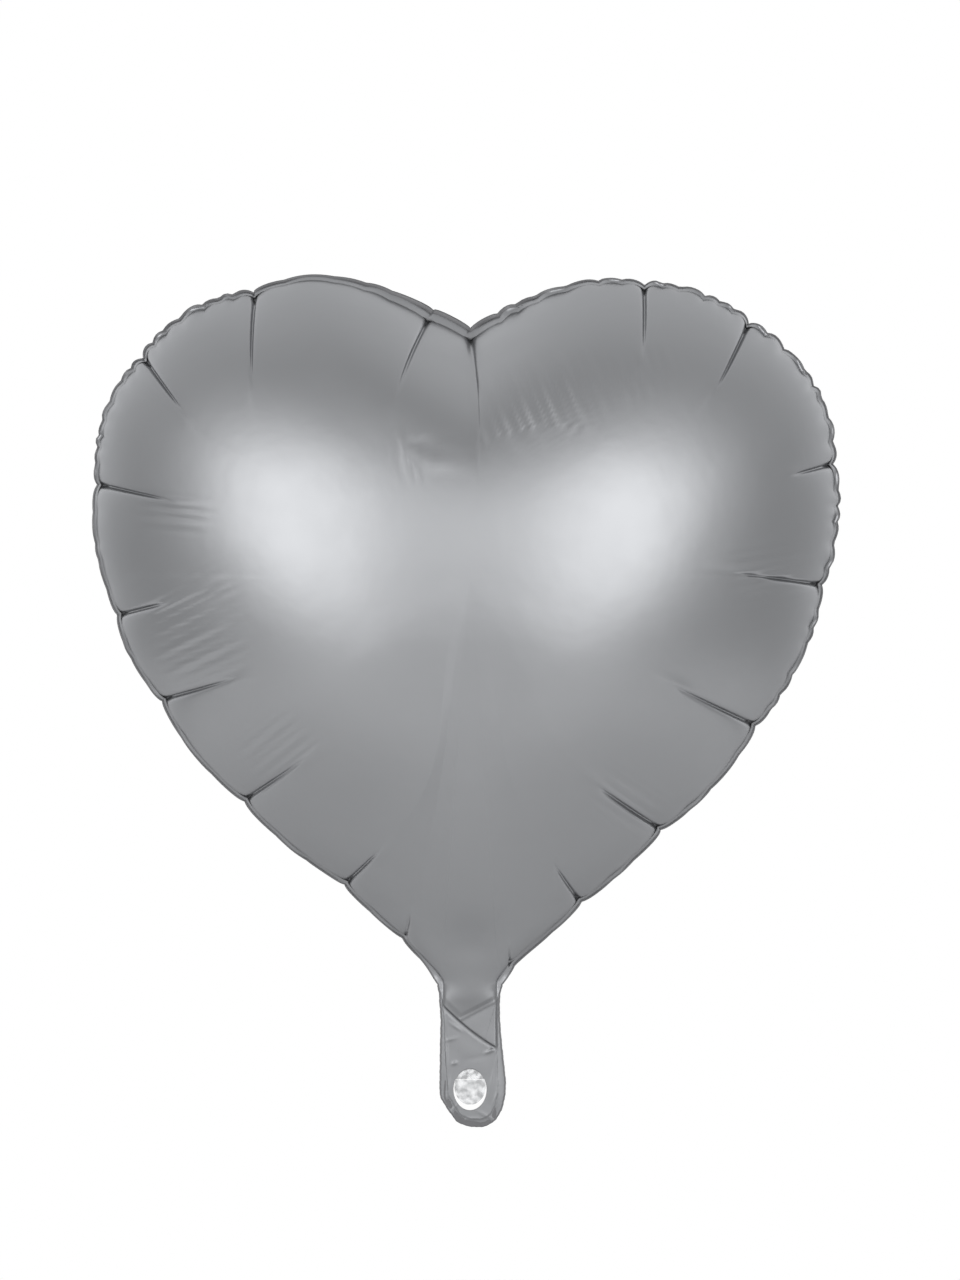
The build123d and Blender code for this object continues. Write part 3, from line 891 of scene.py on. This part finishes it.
def satin_foil_material(name, colour, roughness):
    """Satin lacquer on metallised film: a broad soft gloss, with a faint grain and faint ripples.
    Where the foil was flattened in the press it is duller, and there its colour is darkened as
    painted shade."""
    material, nodes, links, shader = new_material(name)
    place = object_place(nodes)
    shader.inputs["Metallic"].default_value = 1.0
    shader.inputs["Specular Tint"].default_value = (0.6, 0.6, 0.6, 1.0)
    pressed_and_painted_shade = nodes.new("ShaderNodeAttribute")
    pressed_and_painted_shade.attribute_name = "pressed_and_painted_shade"
    pressed_and_painted_shade = pressed_and_painted_shade.outputs["Fac"]
    tint = mixed(nodes, links, noise(nodes, links, place, 22.0, 3.0), shade_of(colour, 0.98),
                 shade_of(colour, 1.02))
    # Painted shade: on the flattened tail the foil's colour is darkened to three quarters.
    painted_shade_tint = mixed(nodes, links, pressed_and_painted_shade, tint, shade_of(colour, 0.75))
    links.new(painted_shade_tint, shader.inputs["Base Color"])
    uneven = spread(nodes, links, noise(nodes, links, place, 60.0, 2.0), roughness - 0.03,
                    roughness + 0.03)
    duller = spread(nodes, links, pressed_and_painted_shade, 0.0, 0.08)
    links.new(calculated(nodes, links, "ADD", uneven, duller), shader.inputs["Roughness"])
    grain = bumped(nodes, links, noise(nodes, links, place, 2600.0, 2.0), 0.10, 0.00005,
                   bumped(nodes, links, noise(nodes, links, place, 90.0, 2.0), 0.25, 0.0004))
    links.new(grain, shader.inputs["Normal"])
    return material


def weld_painted_shade_material(name, colour):
    """The cut edge of the fused layers: duller than the foil, and darker as painted shade for the
    rim's dark line.
    """
    material, nodes, links, shader = new_material(name)
    place = object_place(nodes)
    shader.inputs["Metallic"].default_value = 0.6
    shader.inputs["Base Color"].default_value = colour
    links.new(spread(nodes, links, noise(nodes, links, place, 300.0, 2.0), 0.35, 0.55),
              shader.inputs["Roughness"])
    return material


def clear_film_material(name, colour, alpha):
    """Clear film, milky in patches and crumpled, so that it glints in small facets."""
    material, nodes, links, shader = new_material(name)
    place = object_place(nodes)
    patches = noise(nodes, links, place, 330.0, 1.0)
    share = spread(nodes, links, patches, 0.0, 1.0, 0.40, 0.60)
    links.new(mixed(nodes, links, share, shade_of(colour, 0.5), tuple(colour)),
              shader.inputs["Base Color"])
    shader.inputs["Roughness"].default_value = 0.22
    shader.inputs["IOR"].default_value = 1.5
    links.new(spread(nodes, links, patches, alpha * 1.35, alpha * 0.75, 0.40, 0.60),
              shader.inputs["Alpha"])
    crumple = bumped(nodes, links, noise(nodes, links, place, 420.0, 1.0), 0.4, 0.0005)
    links.new(crumple, shader.inputs["Normal"])
    return material


def ink_material(name, colour):
    """Release ink, a thin milky print with a fine speckle."""
    material, nodes, links, shader = new_material(name)
    place = object_place(nodes)
    shader.inputs["Base Color"].default_value = colour
    links.new(spread(nodes, links, noise(nodes, links, place, 900.0, 2.0), 0.5, 0.75),
              shader.inputs["Roughness"])
    return material


# --- what a user can change ---------------------------------------------------------


class BalloonSizes(bpy.types.PropertyGroup):
    """How deep the panels are, and how strongly rim, creases and welds show"""

    depth: bpy.props.FloatProperty(
        name="Panel depth", description="From the middle plane to the deepest part of a panel",
        default=round(-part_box("front_panel")[0].y - PLY_Y * MM, 4), min=0.03, max=0.12,
        unit="LENGTH")
    saddle: bpy.props.FloatProperty(
        name="Saddle", description="How far the panel dips between the two lobes",
        default=0.003, min=0.0, max=0.02, unit="LENGTH")
    rim_swell: bpy.props.FloatProperty(
        name="Rim swell",
        description="Height of the arc that the rim makes between two creases 60 mm apart",
        default=0.0014, min=0.0, max=0.01, unit="LENGTH")
    scallop_share: bpy.props.FloatProperty(
        name="Scallops",
        description="Height of the small scallops, as a share of their listed height",
        default=1.0, min=0.0, max=2.0, subtype="FACTOR")
    pleat_share: bpy.props.FloatProperty(
        name="Pleats", description="Height of the fine pleats, as a share of their listed height",
        default=2.0, min=0.0, max=3.0, subtype="FACTOR")
    crease_width: bpy.props.FloatProperty(
        name="Crease width", description="Half the width of a main crease's groove at the rim",
        default=0.0008, min=0.0004, max=0.004, unit="LENGTH")
    weld_width: bpy.props.FloatProperty(
        name="Rim weld width", description="Width of the welded band round the heart",
        default=0.0032, min=0.002, max=0.01, unit="LENGTH")
    tail_weld: bpy.props.FloatProperty(
        name="Tail weld width", description="Width of the welded band round the tail",
        default=0.004, min=0.002, max=0.006, unit="LENGTH")
    weld_lip: bpy.props.FloatProperty(
        name="Weld lip", description="How far the fused edge stands out past the foil",
        default=0.0009, min=0.0, max=0.002, unit="LENGTH")
    band_lean: bpy.props.FloatProperty(
        name="Band lean", description="How far the welded band leans back from the middle plane",
        default=math.radians(58.0), min=0.0, max=math.radians(80.0), unit="ROTATION")
    band_curl: bpy.props.FloatProperty(
        name="Band curl", description="How far the welded band's edge curls to and fro",
        default=0.0016, min=0.0, max=0.004, unit="LENGTH")
    foil_thickness: bpy.props.FloatProperty(
        name="Foil thickness", description="Thickness of a foil sheet as modelled",
        default=0.0002, min=0.00005, max=0.0005, unit="LENGTH")


class BalloonColours(bpy.types.PropertyGroup):
    """The colours and the gloss of foil, weld, film and ink"""

    foil: bpy.props.FloatVectorProperty(
        name="Foil", description="Colour of the satin foil", subtype="COLOR", size=4,
        default=(0.36, 0.365, 0.375, 1.0), min=0.0, max=1.0)
    foil_roughness: bpy.props.FloatProperty(
        name="Foil roughness", description="0 is a mirror, and 1 is fully dull",
        default=0.36, min=0.1, max=0.8, subtype="FACTOR")
    # The weld's dark colour is painted shade: it draws the dark line along the rim's edge.
    weld: bpy.props.FloatVectorProperty(
        name="Weld", description="Colour of the fused edge", subtype="COLOR", size=4,
        default=(0.16, 0.16, 0.165, 1.0), min=0.0, max=1.0)
    film: bpy.props.FloatVectorProperty(
        name="Valve film", description="Colour of the clear valve film", subtype="COLOR", size=4,
        default=(0.80, 0.81, 0.82, 1.0), min=0.0, max=1.0)
    film_alpha: bpy.props.FloatProperty(
        name="Film opacity", description="How much the valve film hides",
        default=0.50, min=0.05, max=1.0, subtype="FACTOR")
    ink: bpy.props.FloatVectorProperty(
        name="Release ink", description="Colour of the release ink", subtype="COLOR", size=4,
        default=(0.75, 0.77, 0.80, 1.0), min=0.0, max=1.0)


class BalloonStudio(bpy.types.PropertyGroup):
    """Where the camera stands, and the floor and light round the balloon"""

    camera_distance: bpy.props.FloatProperty(
        name="Camera distance", description="From the camera to the middle plane",
        default=2.2, min=0.8, max=6.0, unit="LENGTH")
    camera_height: bpy.props.FloatProperty(
        name="Camera rise", description="How far the camera is above the point that it looks at",
        default=0.06, min=-0.5, max=1.0, unit="LENGTH")
    floor_drop: bpy.props.FloatProperty(
        name="Floor drop", description="From the balloon's lowest point down to the floor",
        default=0.25, min=0.0, max=1.0, unit="LENGTH")
    floor: bpy.props.FloatVectorProperty(
        name="Floor", description="Colour of the floor", subtype="COLOR", size=4,
        default=(0.74, 0.74, 0.74, 1.0), min=0.0, max=1.0)
    floor_glow: bpy.props.FloatProperty(
        name="Floor light",
        description="How much light the floor adds of its own, away from the balloon",
        default=0.30, min=0.0, max=2.0)
    room_light: bpy.props.FloatProperty(
        name="Room light", description="Strength of the even light from all round",
        default=0.51, min=0.0, max=3.0)
    front_light: bpy.props.FloatProperty(
        name="Front light", description="How much brighter the front of the room is",
        default=0.04, min=0.0, max=3.0)
    back_light: bpy.props.FloatProperty(
        name="Back light", description="How much brighter the back of the room is",
        default=0.50, min=0.0, max=3.0)
    back_glow: bpy.props.FloatProperty(
        name="Back glow", description="How much brighter two broad patches behind the balloon are",
        default=0.75, min=0.0, max=3.0)
    softbox: bpy.props.FloatProperty(
        name="Softbox", description="Width of each softbox",
        default=1.25, min=0.2, max=3.0, unit="LENGTH")
    softbox_glow: bpy.props.FloatProperty(
        name="Softbox glow", description="How much brighter the room is round each softbox",
        default=1.1, min=0.0, max=5.0)
    softbox_power: bpy.props.FloatProperty(
        name="Softbox power", description="Power of each softbox",
        default=4.4, min=0.0, max=100.0, unit="POWER")


# --- operators ----------------------------------------------------------------------


class BALLOON_OT_foil(bpy.types.Operator):
    """Builds the two foil sheets, each a puckered heart panel with its ply of the tail"""

    bl_idname = "balloon.foil"
    bl_label = "Foil Sheets"

    def execute(self, context):
        sizes = context.scene.balloon_sizes
        colours = context.scene.balloon_colours
        rim = Rim(sizes)
        foil = satin_foil_material("satin_foil", colours.foil, colours.foil_roughness)
        lengths = np.random.default_rng(7).uniform(0.75, 1.15, len(CREASES))
        for name, nodes, back, shares in (
            ("front_foil", ("front_panel", "tail_front_ply"), False, np.ones(len(CREASES))),
            ("back_foil", ("back_panel", "tail_back_ply"), True, lengths),
        ):
            sheet = foil_sheet(name, rim, sizes, shares, back, foil)
            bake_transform(sheet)
            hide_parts(*nodes)
        return {"FINISHED"}


class BALLOON_OT_welds(bpy.types.Operator):
    """Builds the fused edge round heart and tail, and gives the neck's weld its finish: dull, and
    dark with painted shade
    """

    bl_idname = "balloon.welds"
    bl_label = "Welds"

    def execute(self, context):
        sizes = context.scene.balloon_sizes
        material = weld_painted_shade_material("weld_layer", context.scene.balloon_colours.weld)
        band = weld_band("edge_weld", Rim(sizes), sizes, material)
        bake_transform(band)
        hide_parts("rim_weld", "tail_edge_weld")
        finish_nodes(["neck_weld"], material)
        return {"FINISHED"}


class BALLOON_OT_valve(bpy.types.Operator):
    """Builds the valve's two lips, and gives its films, seals and ink their finish"""

    bl_idname = "balloon.valve"
    bl_label = "Valve"

    def execute(self, context):
        colours = context.scene.balloon_colours
        film = clear_film_material("clear_film", colours.film, colours.film_alpha)
        slots = {p["node"]: p["material_slot"] for p in frame["record"]["subparts"]}
        for name, side, phase in (("front", -1.0, 0.6), ("back", 1.0, 2.9)):
            lip = lip_film(name, side, phase, film)
            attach(lip, f"{name}_lip")
            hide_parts(f"{name}_valve_lip")
        # A CAD film has two faces where a lip has one, so each hides less. The seals hide least.
        half_alpha = 1.0 - (1.0 - colours.film_alpha) ** 0.5
        solid = clear_film_material("clear_film_solid", colours.film, half_alpha)
        seal = clear_film_material("clear_film_seal", colours.film, SEAL_ALPHA)
        films = [node for node, slot in slots.items() if slot == "clear_film"]
        finish_nodes([node for node in films if not node.endswith("side_seals")], solid)
        finish_nodes([node for node in films if node.endswith("side_seals")], seal)
        finish_nodes(["release_patch"], ink_material("release_ink", colours.ink))
        return {"FINISHED"}


def finish_nodes(names, material):
    """Gives CAD nodes a material in place of the one that they came with."""
    for name in names:
        mesh = frame["nodes"][name].data
        mesh.materials.clear()
        mesh.materials.append(material)


class BALLOON_OT_stage(bpy.types.Operator):
    """Builds the floor, the soft studio light and the camera"""

    bl_idname = "balloon.stage"
    bl_label = "Studio"

    def execute(self, context):
        studio = context.scene.balloon_studio
        low, high = CAD_BOX
        floor = studio_floor(low.z / MM - studio.floor_drop / MM, studio)
        studio_world(context.scene, studio)
        middle = (low + high) / 2
        for side, place in (("left", LEFT_SOFTBOX), ("right", RIGHT_SOFTBOX)):
            soft_box(f"softbox_{side}", middle, place, studio)
        aim_camera(context.scene, studio)
        return {"FINISHED"}


def studio_floor(z, studio):
    """A round floor with a painted glow that rises towards its edge, leaving a painted shadow under
    the balloon.
    """
    turn = np.linspace(0.0, 2 * PI, FLOOR_SIDES + 1)[:-1]
    around = FLOOR_RADIUS * np.column_stack([np.cos(turn), np.sin(turn)])
    ring = np.column_stack([around, np.full(FLOOR_SIDES, z)])
    material, nodes, links, shader = new_material("studio_floor")
    length = nodes.new("ShaderNodeVectorMath")
    length.operation = "LENGTH"
    links.new(object_place(nodes), length.inputs[0])
    # Painted light: the floor's own glow grows with the distance from its middle, so under the
    # balloon a painted shadow stays.
    glow = spread(nodes, links, length.outputs["Value"], 0.0, studio.floor_glow,
                  FLOOR_PAINTED_SHADOW_RADIUS * MM, FLOOR_RADIUS * MM)
    shader.inputs["Base Color"].default_value = studio.floor
    shader.inputs["Roughness"].default_value = 0.8
    shader.inputs["Specular IOR Level"].default_value = 0.0
    shader.inputs["Emission Color"].default_value = (1.0, 1.0, 1.0, 1.0)
    links.new(glow, shader.inputs["Emission Strength"])
    return make_object("floor", ring, [np.arange(FLOOR_SIDES)[None]], material)


def lobe(nodes, links, direction, axis, sharpness, height):
    """Light that fades with the angle from an axis: height times the cosine to a power."""
    dot = nodes.new("ShaderNodeVectorMath")
    dot.operation = "DOT_PRODUCT"
    links.new(direction, dot.inputs[0])
    dot.inputs[1].default_value = axis
    share = spread(nodes, links, dot.outputs["Value"], 0.0, 1.0)
    power = calculated(nodes, links, "POWER", share, sharpness)
    return calculated(nodes, links, "MULTIPLY", power, height)


def toward(azimuth, elevation):
    """The direction to a place round the balloon, in degrees from the front and from level."""
    a, e = math.radians(azimuth), math.radians(elevation)
    return math.sin(a) * math.cos(e), -math.cos(a) * math.cos(e), math.sin(e)


def studio_world(scene, studio):
    """Even light from all round with the brighter parts listed above, and a white background."""
    world = bpy.data.worlds.new("studio")
    scene.world = world
    world.use_nodes = True
    nodes, links = world.node_tree.nodes, world.node_tree.links
    light, out = nodes["Background"], nodes["World Output"]
    direction = nodes.new("ShaderNodeTexCoord").outputs["Generated"]
    level = studio.room_light
    for azimuth, elevation, sharpness, setting in ROOM_LOBES:
        axis = toward(azimuth, elevation)
        part = lobe(nodes, links, direction, axis, sharpness, getattr(studio, setting))
        level = calculated(nodes, links, "ADD", part, level)
    links.new(level, light.inputs["Strength"])
    light.inputs["Color"].default_value = (0.985, 0.99, 1.0, 1.0)
    plain = nodes.new("ShaderNodeBackground")
    plain.inputs["Color"].default_value = (1.0, 1.0, 1.0, 1.0)
    seen = nodes.new("ShaderNodeLightPath")
    mix = nodes.new("ShaderNodeMixShader")
    links.new(seen.outputs["Is Camera Ray"], mix.inputs["Fac"])
    links.new(light.outputs["Background"], mix.inputs[1])
    links.new(plain.outputs["Background"], mix.inputs[2])
    links.new(mix.outputs["Shader"], out.inputs["Surface"])
    scene.view_settings.view_transform = "Standard"


def soft_box(name, target, place, studio):
    """A round area light at an angle round and above the front, aimed at the target."""
    light = bpy.data.lights.new(name, "AREA")
    light.shape = "DISK"
    light.size = studio.softbox
    light.energy = studio.softbox_power
    lamp = bpy.data.objects.new(name, light)
    bpy.context.scene.collection.objects.link(lamp)
    away = Vector(toward(*place))
    lamp.location = target + away * (SOFTBOX_DISTANCE * MM)
    lamp.rotation_mode = "QUATERNION"
    lamp.rotation_quaternion = (-away).to_track_quat("-Z", "Y")


def aim_camera(scene, studio):
    """A long lens from the front, a little above, that shows VIEW_HEIGHT of the middle plane."""
    data = bpy.data.cameras.new("camera")
    camera = bpy.data.objects.new("camera", data)
    scene.collection.objects.link(camera)
    look = Vector((VIEW_CENTRE[0] * MM, 0.0, VIEW_CENTRE[1] * MM))
    place = look + Vector((0.0, -studio.camera_distance, studio.camera_height))
    camera.location = place
    camera.rotation_mode = "QUATERNION"
    camera.rotation_quaternion = (look - place).to_track_quat("-Z", "Y")
    data.lens = data.sensor_width * (look - place).length / (VIEW_HEIGHT * MM)
    scene.camera = camera


class BALLOON_PT_panel(bpy.types.Panel):
    """Lists the balloon's sizes, colours and builders"""

    bl_label = "Foil Balloon"
    bl_idname = "BALLOON_PT_panel"
    bl_space_type = "VIEW_3D"
    bl_region_type = "UI"
    bl_category = "Balloon"

    def draw(self, context):
        layout = self.layout
        for group in [getattr(context.scene, name) for name in GROUPS]:
            box = layout.box()
            for name in group.__annotations__:
                box.prop(group, name)
        for operator in OPERATORS:
            layout.operator(operator.bl_idname)


GROUPS = {
    "balloon_sizes": BalloonSizes,
    "balloon_colours": BalloonColours,
    "balloon_studio": BalloonStudio,
}
OPERATORS = (BALLOON_OT_foil, BALLOON_OT_welds, BALLOON_OT_valve, BALLOON_OT_stage)


def register():
    """Registers every class, and gives the scene its groups of values."""
    for cls in (*GROUPS.values(), *OPERATORS, BALLOON_PT_panel):
        bpy.utils.register_class(cls)
    for name, cls in GROUPS.items():
        setattr(bpy.types.Scene, name, bpy.props.PointerProperty(type=cls))


def unregister():
    """Takes away what register added."""
    for name in GROUPS:
        delattr(bpy.types.Scene, name)
    for cls in (BALLOON_PT_panel, *reversed(OPERATORS), *reversed(list(GROUPS.values()))):
        bpy.utils.unregister_class(cls)


def main():
    register()
    for name in ("Cube", "Light", "Camera"):
        if name in bpy.data.objects:
            bpy.data.objects.remove(bpy.data.objects[name])
    bpy.ops.balloon.foil()
    bpy.ops.balloon.welds()
    bpy.ops.balloon.valve()
    bpy.ops.balloon.stage()


if __name__ == "__main__":
    main()
